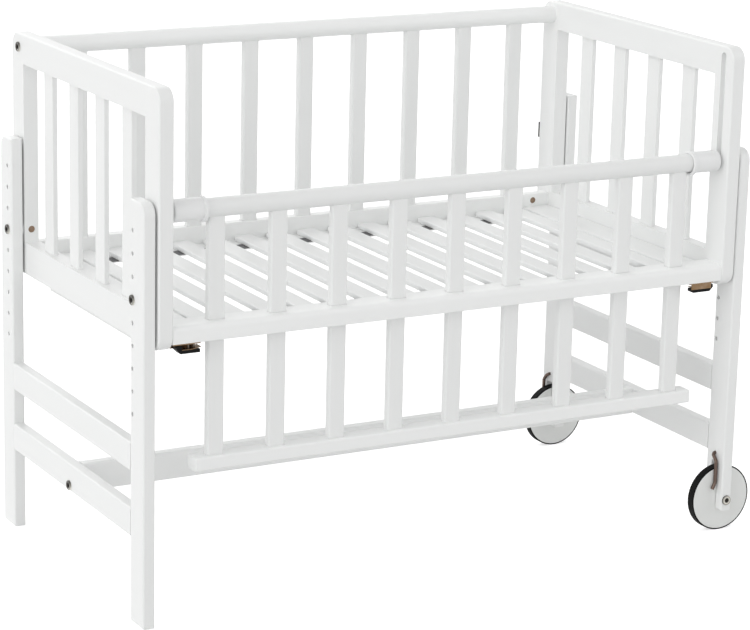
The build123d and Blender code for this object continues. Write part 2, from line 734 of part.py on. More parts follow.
with BuildPart() as base_slats:
    ys = (y_in(FRONT, front_rail_back + base_front_gap), back_lower_face - base_back_gap)
    zs = (base_level, base_level + base_slat_t)
    for i in range(1, base_slat_count - 1):
        x = x_in(LEFT, panel_t + base_slat_end_gap + base_slat_w / 2) + base_slat_pitch * i
        block((x - base_slat_w / 2, x + base_slat_w / 2), ys, zs)
    for side in (LEFT, RIGHT):
        outer = panel_t + base_slat_end_gap
        block((x_in(side, outer), x_in(side, outer + base_end_slat_w)), ys, zs)
    uprights = base_slats.edges().filter_by(Axis.Z).group_by(Axis.Y)
    fillet(uprights[-1], base_back_end_r)
    fillet(base_slats.edges().filter_by(Axis.Z).group_by(Axis.Y)[0], base_front_end_r)
    long_faces = base_slats.faces().filter_by(Axis.Z)
    fillet(long_faces.edges(), base_slat_round)

with BuildPart() as base_straps:
    end = panel_t + base_slat_end_gap + base_slat_round
    for ys in ((max(front_batten_ys), max(front_batten_ys) + strap_w),
               (min(back_batten_ys) - strap_w, min(back_batten_ys))):
        block((x_in(LEFT, end), x_in(RIGHT, end)), ys, (base_level - strap_t, base_level))

with BuildPart() as base_end_cleats:
    for side in (LEFT, RIGHT):
        block((x_in(side, panel_t), x_in(side, panel_t + end_cleat_t)),
              (max(front_batten_ys) + strap_w, min(back_batten_ys) - strap_w),
              (base_level - end_cleat_h, base_level))
    long_edges = base_end_cleats.edges().filter_by(Axis.Y)
    fillet(long_edges.group_by(Axis.Z)[0], small_edge_r)

with BuildPart() as batten_screws:
    back_seat = back_rail_y + back_lower_t / 2 - batten_screw_head_h
    front_seat = max(front_batten_ys) - batten_screw_head_h
    for x in screw_xs:
        rod_y(x, (back_seat - back_screw_length, back_seat), batten_screw_z, batten_screw_r)
        rod_y(x, (back_seat, back_seat + batten_screw_head_h), batten_screw_z, batten_screw_head_r)
        hold = min(front_batten_ys) - batten_screw_hold
        rod_y(x, (hold, front_seat), batten_screw_z, batten_screw_r)
        rod_y(x, (front_seat, front_seat + batten_screw_head_h), batten_screw_z,
              batten_screw_head_r)

# Bolts, barrel nuts, spacers and dowels.
with BuildPart() as leg_bolts:
    for side in (LEFT, RIGHT):
        for row in (FRONT, BACK):
            length = leg_t + leg_gap + stile_nut_depth + barrel_r + bolt_tip_past
            seat = seat_x(side, x_in(side, leg_x_far), y_in(row, hole_inset[row]), leg_bolt_z)
            bolt(seat, bolt_head_r, bolt_head_h, bolt_r, length, socket_w, socket_depth)

with BuildPart() as leg_spacers:
    for side in (LEFT, RIGHT):
        for row in (FRONT, BACK):
            xs = (x_in(side, leg_x_near), x_in(side, 0))
            y = y_in(row, hole_inset[row])
            rod_x(xs, y, leg_bolt_z, spacer_r)
            rod_x((min(xs) - cut_over, max(xs) + cut_over), y, leg_bolt_z, bolt_hole_r,
                  Mode.SUBTRACT)

with BuildPart() as top_rail_bolts:
    for side in (LEFT, RIGHT):
        length = panel_t + rail_nut_depth + barrel_r + bolt_tip_past
        bolt(seat_x(side, x_in(side, 0), back_rail_y, back_rail_axis_z), bolt_head_r, bolt_head_h,
             bolt_r, length, socket_w, socket_depth)

with BuildPart() as lower_rail_bolts:
    for side in (LEFT, RIGHT):
        length = panel_t - bolt_head_h + rail_nut_depth + barrel_r + bolt_tip_past
        for y, z in ((front_bolt_y, front_rail_mid_z), (back_rail_y, lower_bolt_z)):
            bolt(seat_x(side, x_in(side, bolt_head_h), y, z), bolt_head_r, bolt_head_h, bolt_r,
                 length, socket_w, socket_depth)

with BuildPart() as stretcher_bolts:
    for side in (LEFT, RIGHT):
        length = leg_t + rail_nut_depth + barrel_r + bolt_tip_past
        bolt(seat_x(side, x_in(side, leg_x_far), y_middle, stretcher_bolt_z), bolt_head_r,
             bolt_head_h, bolt_r, length, socket_w, socket_depth)

with BuildPart() as barrel_nuts:
    for side in (LEFT, RIGHT):
        for row in (FRONT, BACK):
            ys = (y_in(row, hole_inset[row] - barrel_past), y_in(row, stile_w - barrel_recess))
            rod_y(x_in(side, stile_nut_depth), ys, leg_bolt_z, barrel_r)
            thread_x(x_in(side, stile_nut_depth), y_in(row, hole_inset[row]), leg_bolt_z)
        x = x_in(side, panel_t + rail_nut_depth)
        rod_y(x, (back_lower_face + barrel_recess, back_rail_y + barrel_past), lower_bolt_z,
              barrel_r)
        thread_x(x, back_rail_y, lower_bolt_z)
        for y, z, open_z in ((back_rail_y, back_rail_axis_z, back_rail_axis_z - round_rail_r),
                             (front_bolt_y, front_rail_mid_z, front_rail_bottom)):
            rod_z(x, y, (open_z + barrel_recess, z + barrel_past), barrel_r)
            thread_x(x, y, z)
        x = x_in(side, stretcher_end + rail_nut_depth)
        ys = (y_middle - barrel_past, y_middle + stretcher_t / 2 - barrel_recess)
        rod_y(x, ys, stretcher_bolt_z, barrel_r)
        thread_x(x, y_middle, stretcher_bolt_z)

with BuildPart() as frame_dowels:
    for side in (LEFT, RIGHT):
        for row in (FRONT, BACK):
            ys = (y_in(row, leg_face_in - dowel_short), y_in(row, leg_face_in + dowel_long))
            for z in cross_dowel_zs:
                rod_y(x_in(side, leg_x_mid), ys, z, dowel_r)
            ys = (y_in(row, stile_w - dowel_short), y_in(row, stile_w + dowel_long))
            for z in panel_dowel_zs:
                rod_y(x_in(side, panel_t / 2), ys, z, dowel_r)
        xs = (x_in(side, panel_t - dowel_short), x_in(side, panel_t + dowel_long))
        rod_x(xs, back_rail_y, lower_dowel_z, dowel_r)
        rod_x(xs, front_dowel_y, front_rail_mid_z, dowel_r)
        xs = (x_in(side, stretcher_end - dowel_short), x_in(side, stretcher_end + dowel_long))
        rod_x(xs, y_middle, stretcher_dowel_z, dowel_r)

with BuildPart() as wall_buffers:
    for side in (LEFT, RIGHT):
        block((x_in(side, 0), x_in(side, buffer_w)), (y_back, y_back + buffer_t),
              (buffer_z - buffer_h / 2, buffer_z + buffer_h / 2))
    fillet(wall_buffers.faces().group_by(Axis.Y)[-1].edges(), buffer_corner_r)

# Catches: a plate screwed under the rail, a sliding catch with a leaf spring below.
plate_bottom = front_rail_bottom - latch_plate_t
screw_seat = catch_bottom + catch_ledge - catch_play


def latch_screw_xs(side):
    """The two shouldered screws of one catch."""
    return [latch_x(side, catch_screw_inset),
            latch_x(side, catch_screw_inset + catch_screw_pitch)]


with BuildPart() as latch_plates:
    for side in (LEFT, RIGHT):
        ends = (latch_inset, latch_inset + latch_plate_l)
        xs = [latch_x(side, end, right_plate_shift) for end in ends]
        ys = (latch_y - latch_plate_w / 2, latch_y + latch_plate_w / 2)
        block(xs, ys, (plate_bottom, front_rail_bottom))
        # One plate serves both ends, turned round, so its flange is behind at the left.
        edge = latch_y - side * latch_plate_w / 2
        ends = (ends[0] + latch_flange_inset, ends[1] - latch_flange_inset)
        xs = [latch_x(side, end, right_plate_shift) for end in ends]
        block(xs, (edge, edge + side * latch_flange_t),
              (plate_bottom - latch_flange_h, front_rail_bottom))
        for x in latch_screw_xs(side):
            rod_z(x, latch_y, (plate_bottom - cut_over, front_rail_bottom + cut_over),
                  catch_screw_r + thread_clear, Mode.SUBTRACT)

with BuildPart() as latch_screws:
    for side in (LEFT, RIGHT):
        for x in latch_screw_xs(side):
            rod_z(x, latch_y, (screw_seat, front_rail_bottom + catch_screw_hold), catch_screw_r)
            rod_z(x, latch_y, (screw_seat - catch_screw_head_h, screw_seat), catch_screw_head_r)


def cut_catch_slot(side, r, zs):
    """The slot that a catch's two screws leave as it slides towards the middle."""
    spots = latch_screw_xs(side)
    first, last = spots[0] + side * catch_travel, spots[-1]
    with BuildSketch(Plane.XY.offset(min(zs))) as slot:
        with Locations(((first + last) / 2, latch_y)):
            SlotCenterToCenter(abs(last - first), 2 * r)
    extrude(slot.sketch, amount=max(zs) - min(zs), mode=Mode.SUBTRACT)


def make_catch(side):
    """A sliding catch: a slotted bar with a taller rounded nose at its outer end."""
    with BuildPart() as catch:
        outer = latch_x(side, catch_inset)
        ys = (latch_y - catch_w / 2, latch_y + catch_w / 2)
        block((outer, latch_x(side, catch_inset + catch_l)), ys, (catch_bottom, catch_top))
        block((outer, latch_x(side, catch_inset + catch_nose_l)), ys,
              (catch_bottom, catch_bottom + catch_nose_h))
        ends = catch.edges().filter_by(Axis.Y).group_by(Axis.X)[0 if side == LEFT else -1]
        chamfer(ends.sort_by(Axis.Z)[0], catch_nose_cut)
        ends = catch.edges().filter_by(Axis.Y).group_by(Axis.X)[0 if side == LEFT else -1]
        fillet(ends.sort_by(Axis.Z)[-1], catch_nose_r)
        cut_catch_slot(side, catch_screw_r + catch_play,
                       (catch_bottom - cut_over, catch_bottom + catch_nose_h))
        cut_catch_slot(side, catch_screw_head_r + catch_play,
                       (catch_bottom - cut_over, catch_bottom + catch_ledge))
    return catch


def make_catch_spring(side):
    """A leaf spring on a catch, flat behind the nose and rising to its free end."""
    start = latch_x(side, catch_inset + catch_nose_l)
    flat = latch_x(side, catch_inset + catch_nose_l + spring_flat_l)
    tip = latch_x(side, catch_inset + catch_l + spring_over)
    with BuildPart() as spring:
        with BuildSketch(Plane.XZ.offset(-(latch_y + spring_w / 2))) as strip:
            with BuildLine() as edge_line:
                upper = Polyline((start, catch_top + spring_t), (flat, catch_top + spring_t),
                                 (tip, catch_top + spring_rise + spring_t))
                Line(upper @ 1, (tip, catch_top + spring_rise))
                lower = Polyline((tip, catch_top + spring_rise), (flat, catch_top),
                                 (start, catch_top))
                Line(lower @ 1, upper @ 0)
            make_face()
        extrude(strip.sketch, amount=spring_w)
        cut_catch_slot(side, catch_screw_r + catch_play,
                       (catch_top - cut_over, catch_top + spring_rise + cut_over))
    return spring


left_catch_spring = make_catch_spring(LEFT)
right_catch_spring = make_catch_spring(RIGHT)
left_catch = make_catch(LEFT)
right_catch = make_catch(RIGHT)


# Wheels.
def make_wheel_disc(row):
    """A plain flat disc with eased edges and a bored middle."""
    x, y = x_in(RIGHT, leg_x_mid), y_in(row, leg_y_mid)
    with BuildPart() as disc:
        rod_y(x, (y - wheel_w / 2, y + wheel_w / 2), axle_z, wheel_r - tyre_t)
        fillet(disc.edges().filter_by(GeomType.CIRCLE), disc_edge_r)
        rod_y(x, (y - wheel_w, y + wheel_w), axle_z, axle_r + run_clear + bush_t, Mode.SUBTRACT)
    return disc


def make_tyre(row):
    """A thin rubber band round the disc, a little narrower than it."""
    x, y = x_in(RIGHT, leg_x_mid), y_in(row, leg_y_mid)
    half = wheel_w / 2 - tyre_inset
    with BuildPart() as tyre:
        rod_y(x, (y - half, y + half), axle_z, wheel_r)
        fillet(tyre.edges().filter_by(GeomType.CIRCLE), tyre_corner_r)
        rod_y(x, (y - wheel_w, y + wheel_w), axle_z, wheel_r - tyre_t, Mode.SUBTRACT)
    return tyre


def make_bush(row):
    """The bush that turns on the axle."""
    x, y = x_in(RIGHT, leg_x_mid), y_in(row, leg_y_mid)
    with BuildPart() as bush:
        rod_y(x, (y - wheel_w / 2, y + wheel_w / 2), axle_z, axle_r + run_clear + bush_t)
        rod_y(x, (y - wheel_w, y + wheel_w), axle_z, axle_r + run_clear, Mode.SUBTRACT)
    return bush


front_wheel_disc = make_wheel_disc(FRONT)
back_wheel_disc = make_wheel_disc(BACK)
front_wheel_tyre = make_tyre(FRONT)
back_wheel_tyre = make_tyre(BACK)
front_wheel_bush = make_bush(FRONT)
back_wheel_bush = make_bush(BACK)

with BuildPart() as axle_bolts:
    for row in (FRONT, BACK):
        seat = Plane(origin=(x_in(RIGHT, leg_x_mid), y_in(row, leg_inset), axle_z),
                     z_dir=(0, -row, 0))
        bolt(seat, axle_head_r, axle_head_h, axle_r, leg_w + axle_nut_h + axle_tip, socket_w,
             socket_depth)

with BuildPart() as axle_nuts:
    for row in (FRONT, BACK):
        face = Plane(origin=(x_in(RIGHT, leg_x_mid), y_in(row, leg_face_in), axle_z),
                     z_dir=(0, -row, 0))
        with BuildSketch(face):
            RegularPolygon(axle_nut_w / 2, 6, major_radius=False)
            Circle(axle_r + thread_clear, mode=Mode.SUBTRACT)
        extrude(amount=axle_nut_h)


def wire_points(row):
    """The brake wire: out of the leg, over the tyre and down beside the disc."""
    face = x_in(RIGHT, leg_x_near)
    out = face - wire_stand_off
    return [
        (face + wire_hole_depth, y_in(row, leg_y_mid), wire_pivot_z),
        (out, y_in(row, leg_y_mid), wire_pivot_z),
        (out, y_in(row, wire_y), wire_pivot_z - wire_step_down),
        (out, y_in(row, wire_y), wire_foot_z),
        (out - wire_toe_x, y_in(row, wire_y), wire_foot_z - wire_toe_z),
    ]


with BuildPart() as front_brake_wire:
    with BuildLine() as front_route:
        FilletPolyline(*wire_points(FRONT), radius=wire_bend_r)
    with BuildSketch(Plane(origin=front_route.line @ 0, z_dir=front_route.line % 0)):
        Circle(wire_r)
    sweep()

with BuildPart() as back_brake_wire:
    with BuildLine() as back_route:
        FilletPolyline(*wire_points(BACK), radius=wire_bend_r)
    with BuildSketch(Plane(origin=back_route.line @ 0, z_dir=back_route.line % 0)):
        Circle(wire_r)
    sweep()

pieces = {
    "left_leg_front": left_leg_front,
    "left_leg_back": left_leg_back,
    "right_leg_front": right_leg_front,
    "right_leg_back": right_leg_back,
    "left_upper_cross_rail": left_upper_cross_rail,
    "left_lower_cross_rail": left_lower_cross_rail,
    "right_upper_cross_rail": right_upper_cross_rail,
    "right_lower_cross_rail": right_lower_cross_rail,
    "stretcher": stretcher,
    "left_front_stile": left_front_stile,
    "left_back_stile": left_back_stile,
    "right_front_stile": right_front_stile,
    "right_back_stile": right_back_stile,
    "left_top_rail": left_top_rail,
    "right_top_rail": right_top_rail,
    "left_lower_board": left_lower_board,
    "right_lower_board": right_lower_board,
    "left_end_slats": left_end_slats,
    "right_end_slats": right_end_slats,
    "back_top_rail": back_top_rail,
    "back_lower_rail": back_lower_rail,
    "back_slats": back_slats,
    "front_fixed_rail": front_fixed_rail,
    "drop_top_rail": drop_top_rail,
    "drop_bottom_rail": drop_bottom_rail,
    "drop_slats": drop_slats,
    "drop_sleeve_left": drop_sleeve_left,
    "drop_sleeve_right": drop_sleeve_right,
    "drop_guide_pins": drop_guide_pins,
    "base_front_batten": base_front_batten,
    "base_back_batten": base_back_batten,
    "base_slats": base_slats,
    "base_end_cleats": base_end_cleats,
    "base_straps": base_straps,
    "batten_screws": batten_screws,
    "leg_bolts": leg_bolts,
    "leg_spacers": leg_spacers,
    "top_rail_bolts": top_rail_bolts,
    "lower_rail_bolts": lower_rail_bolts,
    "stretcher_bolts": stretcher_bolts,
    "barrel_nuts": barrel_nuts,
    "frame_dowels": frame_dowels,
    "wall_buffers": wall_buffers,
    "latch_plates": latch_plates,
    "left_catch_spring": left_catch_spring,
    "right_catch_spring": right_catch_spring,
    "latch_screws": latch_screws,
    "left_catch": left_catch,
    "right_catch": right_catch,
    "front_wheel_disc": front_wheel_disc,
    "back_wheel_disc": back_wheel_disc,
    "front_wheel_tyre": front_wheel_tyre,
    "back_wheel_tyre": back_wheel_tyre,
    "front_wheel_bush": front_wheel_bush,
    "back_wheel_bush": back_wheel_bush,
    "axle_bolts": axle_bolts,
    "axle_nuts": axle_nuts,
    "front_brake_wire": front_brake_wire,
    "back_brake_wire": back_brake_wire,
}
for name, piece in pieces.items():
    piece.part.label = name
    export_step(piece.part, f"parts/{name}.step")
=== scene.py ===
# %% [markdown]
# # A bedside crib, dressed in Blender
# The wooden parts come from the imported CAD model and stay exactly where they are. This file
# gives them their finishes, replaces a few small parts by finer surfaces, and sets the
# camera, the light and the floor. The first cell loads the fixed frame: one object for each
# CAD node, in metres, with +X towards the wheels, +Y to the back and +Z up.

import json
import math

import bmesh
import bpy
import numpy as np
from mathutils import Matrix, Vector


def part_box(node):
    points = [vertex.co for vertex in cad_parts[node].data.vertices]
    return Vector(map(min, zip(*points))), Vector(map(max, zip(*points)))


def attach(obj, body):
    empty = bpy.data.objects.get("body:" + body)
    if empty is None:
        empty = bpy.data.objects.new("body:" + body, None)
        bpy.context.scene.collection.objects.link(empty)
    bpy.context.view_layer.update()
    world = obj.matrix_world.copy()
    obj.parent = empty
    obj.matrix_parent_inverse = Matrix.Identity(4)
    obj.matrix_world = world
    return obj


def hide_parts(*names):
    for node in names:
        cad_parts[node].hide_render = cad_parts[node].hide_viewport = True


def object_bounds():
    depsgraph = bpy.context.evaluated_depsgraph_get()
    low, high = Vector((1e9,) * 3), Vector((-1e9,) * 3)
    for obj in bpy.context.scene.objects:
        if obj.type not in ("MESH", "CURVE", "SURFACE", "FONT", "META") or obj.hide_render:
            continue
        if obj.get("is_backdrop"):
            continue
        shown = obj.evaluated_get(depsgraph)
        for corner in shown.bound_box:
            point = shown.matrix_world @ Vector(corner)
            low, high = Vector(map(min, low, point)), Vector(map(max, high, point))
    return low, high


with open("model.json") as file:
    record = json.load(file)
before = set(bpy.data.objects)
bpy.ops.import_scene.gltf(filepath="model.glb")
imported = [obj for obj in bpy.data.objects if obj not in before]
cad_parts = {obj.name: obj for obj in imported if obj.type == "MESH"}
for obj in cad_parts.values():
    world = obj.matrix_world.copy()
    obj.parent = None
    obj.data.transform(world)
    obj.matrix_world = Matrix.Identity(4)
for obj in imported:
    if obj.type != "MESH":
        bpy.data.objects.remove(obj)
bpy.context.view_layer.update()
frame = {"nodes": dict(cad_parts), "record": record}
nodes = frame["nodes"]

# %% [markdown]
# ## Camera
# The photograph was taken from the front left, a little above the crib. The camera's place
# and its three angles were found by fitting the crib's own edges. Here the angles are
# turned into a rotation: first the viewing direction, then the picture's right and up,
# tilted by the roll. The lens follows from the focal length in pixels.

# %% Camera
PICTURE_W = 750
SENSOR_MM = 36.0
FOCAL_PX = 2781.9
YAW, PITCH, ROLL = (math.radians(a) for a in (28.924, 14.777, -1.362))
CAMERA_AT = (-1.97137, -3.54141, 1.39876)
FARTHEST = 50.0

ahead = np.array([math.sin(YAW) * math.cos(PITCH), math.cos(YAW) * math.cos(PITCH),
                  -math.sin(PITCH)])
level = np.array([math.cos(YAW), -math.sin(YAW), 0.0])
down = np.cross(ahead, level)
right = level * math.cos(ROLL) + down * math.sin(ROLL)
below = -level * math.sin(ROLL) + down * math.cos(ROLL)

camera = bpy.data.objects.new("camera", bpy.data.cameras.new("camera"))
camera.data.sensor_width = SENSOR_MM
camera.data.sensor_fit = "HORIZONTAL"
camera.data.lens = FOCAL_PX * SENSOR_MM / PICTURE_W
camera.data.clip_end = FARTHEST
facing = Matrix((right, -below, -ahead)).transposed().to_4x4()
camera.matrix_world = Matrix.Translation(CAMERA_AT) @ facing
bpy.context.scene.collection.objects.link(camera)
bpy.context.scene.camera = camera
bpy.context.scene.view_settings.view_transform = "Standard"
print("lens", round(camera.data.lens, 2), "mm")

# %% [markdown]
# ## Floor, light and background
# The photograph shows the crib on pure white, with soft light that is strongest on the end
# panel at the left. A large pale floor takes a faint shadow. To the camera, and in
# reflections, the floor also glows a little, so that it melts into the white background
# without any extra light falling on the crib.

# %% Floor
FLOOR_HALF = 30.0
FLOOR_COLOUR = (0.80, 0.80, 0.80, 1.0)
FLOOR_GLOW = 0.60


def new_material(name):
    """An empty node material: the material, its node tree and its output node."""
    material = bpy.data.materials.new(name)
    material.use_nodes = True
    tree = material.node_tree
    tree.nodes.clear()
    return material, tree, tree.nodes.new("ShaderNodeOutputMaterial")


def seen_directly(tree):
    """1 for camera, glossy and transmission rays, else 0: the largest of the three."""
    path = tree.nodes.new("ShaderNodeLightPath")
    first = tree.nodes.new("ShaderNodeMath")
    first.operation = "MAXIMUM"
    second = tree.nodes.new("ShaderNodeMath")
    second.operation = "MAXIMUM"
    tree.links.new(path.outputs["Is Camera Ray"], first.inputs[0])
    tree.links.new(path.outputs["Is Glossy Ray"], first.inputs[1])
    tree.links.new(first.outputs[0], second.inputs[0])
    tree.links.new(path.outputs["Is Transmission Ray"], second.inputs[1])
    return second.outputs[0]


floor_mesh = bpy.data.meshes.new("floor")
corners = [(-FLOOR_HALF, -FLOOR_HALF, 0.0), (FLOOR_HALF, -FLOOR_HALF, 0.0),
           (FLOOR_HALF, FLOOR_HALF, 0.0), (-FLOOR_HALF, FLOOR_HALF, 0.0)]
floor_mesh.from_pydata(corners, [], [(0, 1, 2, 3)])
floor = bpy.data.objects.new("floor", floor_mesh)
bpy.context.scene.collection.objects.link(floor)
floor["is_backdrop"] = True

pale, tree, out = new_material("pale_floor")
paint = tree.nodes.new("ShaderNodeBsdfDiffuse")
paint.inputs["Color"].default_value = FLOOR_COLOUR
glow = tree.nodes.new("ShaderNodeEmission")
glow.inputs["Strength"].default_value = FLOOR_GLOW
both = tree.nodes.new("ShaderNodeAddShader")
pick = tree.nodes.new("ShaderNodeMixShader")
tree.links.new(paint.outputs[0], both.inputs[0])
tree.links.new(glow.outputs[0], both.inputs[1])
tree.links.new(seen_directly(tree), pick.inputs["Fac"])
tree.links.new(paint.outputs[0], pick.inputs[1])
tree.links.new(both.outputs[0], pick.inputs[2])
tree.links.new(pick.outputs[0], out.inputs["Surface"])
floor_mesh.materials.append(pale)

# %% World
SKY_LIGHT = 0.40
world = bpy.data.worlds.new("white_room")
bpy.context.scene.world = world
world.use_nodes = True
tree = world.node_tree
tree.nodes.clear()
out = tree.nodes.new("ShaderNodeOutputWorld")
soft = tree.nodes.new("ShaderNodeBackground")
soft.inputs["Color"].default_value = (1.0, 1.0, 1.0, 1.0)
soft.inputs["Strength"].default_value = SKY_LIGHT
white = tree.nodes.new("ShaderNodeBackground")
white.inputs["Color"].default_value = (1.0, 1.0, 1.0, 1.0)
white.inputs["Strength"].default_value = 1.0
pick = tree.nodes.new("ShaderNodeMixShader")
tree.links.new(seen_directly(tree), pick.inputs["Fac"])
tree.links.new(soft.outputs[0], pick.inputs[1])
tree.links.new(white.outputs[0], pick.inputs[2])
tree.links.new(pick.outputs[0], out.inputs["Surface"])

# %% Lamps
LAMPS = (  # name, direction of the light, strength, width in degrees
    ("left_lamp", (1.0, 0.35, -0.35), 0.94, 50.0),
    ("high_left_lamp", (1.0, 0.1, -1.0), 0.35, 60.0),
    ("front_lamp", (0.25, 1.0, -0.45), 0.36, 60.0),
    ("right_lamp", (-1.0, 0.4, -0.4), 0.79, 60.0),
    ("back_lamp", (0.1, -1.0, -0.7), 1.08, 60.0),
)


def add_sun(name, towards, strength, width_deg):
    """A soft sun whose light travels along the direction given."""
    lamp = bpy.data.objects.new(name, bpy.data.lights.new(name, "SUN"))
    lamp.data.energy = strength
    lamp.data.angle = math.radians(width_deg)
    back = -np.array(towards, float) / np.linalg.norm(towards)
    side = np.cross((0.0, 0.0, 1.0), back)
    side /= np.linalg.norm(side)
    lamp.matrix_world = Matrix((side, np.cross(back, side), back)).transposed().to_4x4()
    bpy.context.scene.collection.objects.link(lamp)


for lamp_facts in LAMPS:
    add_sun(*lamp_facts)

# %% [markdown]
# ## Finer pieces
# Bolts and webbing are small, but they are the only dark spots on a white crib, so they are
# built again as smooth closed surfaces. Each one is a grid of points: a function of two
# numbers, one along the piece and one around it. The bolts also carry a painted light value
# per point, which their finish reads: near 1 it gives a painted highlight on the metal, and near 0
# the bolt's black deepened by painted shade in the corners and the socket. The heads at the crib's
# ends carry their painted highlight on one side only, low towards the front.

# %% Surfaces from grids
SHARP_OVER = math.radians(35.0)
WELD = 1e-7


def closed_surface(name, grids, painted_light=None):
    """One mesh from closed grids of points, shaped (copies, rows, columns, 3). Each quad joins
    (row, column) to the next row and the next column, and the last column joins the first.
    Rows of zero radius are welded into poles."""
    copies, rows, columns, _ = grids.shape
    k, i, j = np.meshgrid(np.arange(copies), np.arange(rows - 1), np.arange(columns), indexing="ij")
    here = (k * rows + i) * columns
    after = (j + 1) % columns
    quads = np.stack([here + j, here + after, here + columns + after, here + columns + j], -1)
    mesh = bpy.data.meshes.new(name)
    mesh.vertices.add(copies * rows * columns)
    mesh.vertices.foreach_set("co", grids.astype(np.float32).ravel())
    mesh.loops.add(quads.size)
    mesh.loops.foreach_set("vertex_index", quads.astype(np.int32).ravel())
    mesh.polygons.add(quads.size // 4)
    mesh.polygons.foreach_set("loop_start", np.arange(0, quads.size, 4, dtype=np.int32))
    mesh.update(calc_edges=True)
    if painted_light is not None:
        light_attribute = mesh.attributes.new("painted_light", "FLOAT", "POINT")
        light_attribute.data.foreach_set("value", np.broadcast_to(painted_light[None], grids.shape[:3])
                               .astype(np.float32).ravel())
    soft = bmesh.new()
    soft.from_mesh(mesh)
    bmesh.ops.remove_doubles(soft, verts=soft.verts, dist=WELD)
    bmesh.ops.dissolve_degenerate(soft, edges=soft.edges, dist=WELD)
    bmesh.ops.recalc_face_normals(soft, faces=soft.faces)
    soft.to_mesh(mesh)
    soft.free()
    mesh.shade_smooth()
    mesh.set_sharp_from_angle(angle=SHARP_OVER)
    piece = bpy.data.objects.new(name, mesh)
    bpy.context.scene.collection.objects.link(piece)
    return piece


# %% [markdown]
# ### Bolts
# A bolt is turned about its own axis. Its profile runs from the tip along the shank, out
# under the head, over the rounded rim and the slightly dished crown, and down a countersink
# into the socket. Only the socket isn't round: its radius is that of a hexagon,
# half the width across flats / cos(angle from the middle of the nearest flat).
# The axle bolts have a painted dark outer ring, painted shade, and a painted bright ring
# around the socket, a painted highlight, instead of the one-sided painted highlight. Sizes are in
# metres, and a twist turns each socket a little further.

# %% Bolts
HEAD_H = 0.0025
SHANK_R = 0.003
HEX_W = 0.005
HEX_DEEP = 0.0020
RIM_ROUND = 0.0009
DISH = 0.00025
COUNTERSINK = 0.0010
POINT = 0.0008
AROUND = 72
RIM_STEPS = 6
# Painted light of the bolts per row: near 1 a painted highlight, near 0 painted shade on the black.
SHANK_PAINTED_LIGHT = 0.3
MOUTH_PAINTED_LIGHT = 0.15
MOUTH_HEXED = 0.6
END_PAINTED_LIGHT = (1.0, 0.2, 0.6, 0.5)
END_HIGHLIGHT_ONE_SIDED = 0.85
AXLE_PAINTED_LIGHT = (0.05, 0.5, 0.35, 0.9)
# The side of each end bolt's head where its one-sided painted highlight sits.
HIGHLIGHT_AT = math.radians(-40.0)
FIRST_TWIST, NEXT_TWIST = 0.4, 1.1
LENGTH = {"leg_bolts": 0.0385, "top_rail_bolts": 0.0575, "stretcher_bolts": 0.0535}
AXLE_R, AXLE_LENGTH, AXLE_HEAD_H = 0.004, 0.050, 0.0024


def bolt_profile(length, shank_r, head_r, head_h, painted_light):
    """Rows of (distance along the axis outwards from the seat, radius, share of hexagon,
    painted light), from the tip to the bottom of the socket. The painted light is given for the
    head's outer edge, the end of its rounded rim, the crown and the lip of the socket: near 1 a
    painted highlight, near 0 painted shade in the corners and the socket."""
    edge, rim_end, crown, lip_light = painted_light
    rim = [(head_h - RIM_ROUND + RIM_ROUND * math.sin(t),
            head_r - RIM_ROUND + RIM_ROUND * math.cos(t),
            0.0, edge + (rim_end - edge) * math.sin(t))
           for t in np.linspace(0.0, math.pi / 2, RIM_STEPS)]
    corner = HEX_W / math.sqrt(3)
    mouth = corner + COUNTERSINK
    lip = head_h - DISH
    return np.array([
        (-length, 0.0, 0.0, SHANK_PAINTED_LIGHT),
        (-length, shank_r - POINT, 0.0, SHANK_PAINTED_LIGHT),
        (-length + POINT, shank_r, 0.0, SHANK_PAINTED_LIGHT),
        (0.0, shank_r, 0.0, SHANK_PAINTED_LIGHT),
        (0.0, head_r, 0.0, edge),
        *rim,
        (head_h - DISH / 2, (head_r + mouth) / 2 + RIM_ROUND / 2, 0.0, crown),
        (lip, mouth + COUNTERSINK / 2, 0.0, lip_light),
        (lip - COUNTERSINK / 4, mouth, 0.0, MOUTH_PAINTED_LIGHT),
        (lip - COUNTERSINK, corner, MOUTH_HEXED, 0.0),
        (lip - COUNTERSINK, HEX_W / 2, 1.0, 0.0),
        (head_h - HEX_DEEP, HEX_W / 2, 1.0, 0.0),
        (head_h - HEX_DEEP - POINT / 2, 0.0, 1.0, 0.0),
    ])


def turned(profile, seat, outwards, twist):
    """The bolt's grid: seat + along * outwards + radius * (cos a * side + sin a * up)."""
    out = np.array(outwards, float)
    up = np.array((0.0, 0.0, 1.0))
    side = np.cross(up, out)
    a = np.linspace(0.0, 2 * math.pi, AROUND, endpoint=False)
    off_flat = np.mod(a + twist, math.pi / 3) - math.pi / 6
    along, r, hexed, _ = (column[:, None] for column in profile.T)
    radius = r * (1 - hexed) + np.where(r > 0, HEX_W / 2 / np.cos(off_flat) * hexed, 0.0)
    return (np.array(seat) + along[..., None] * out + (radius * np.cos(a))[..., None] * side
            + (radius * np.sin(a))[..., None] * up)


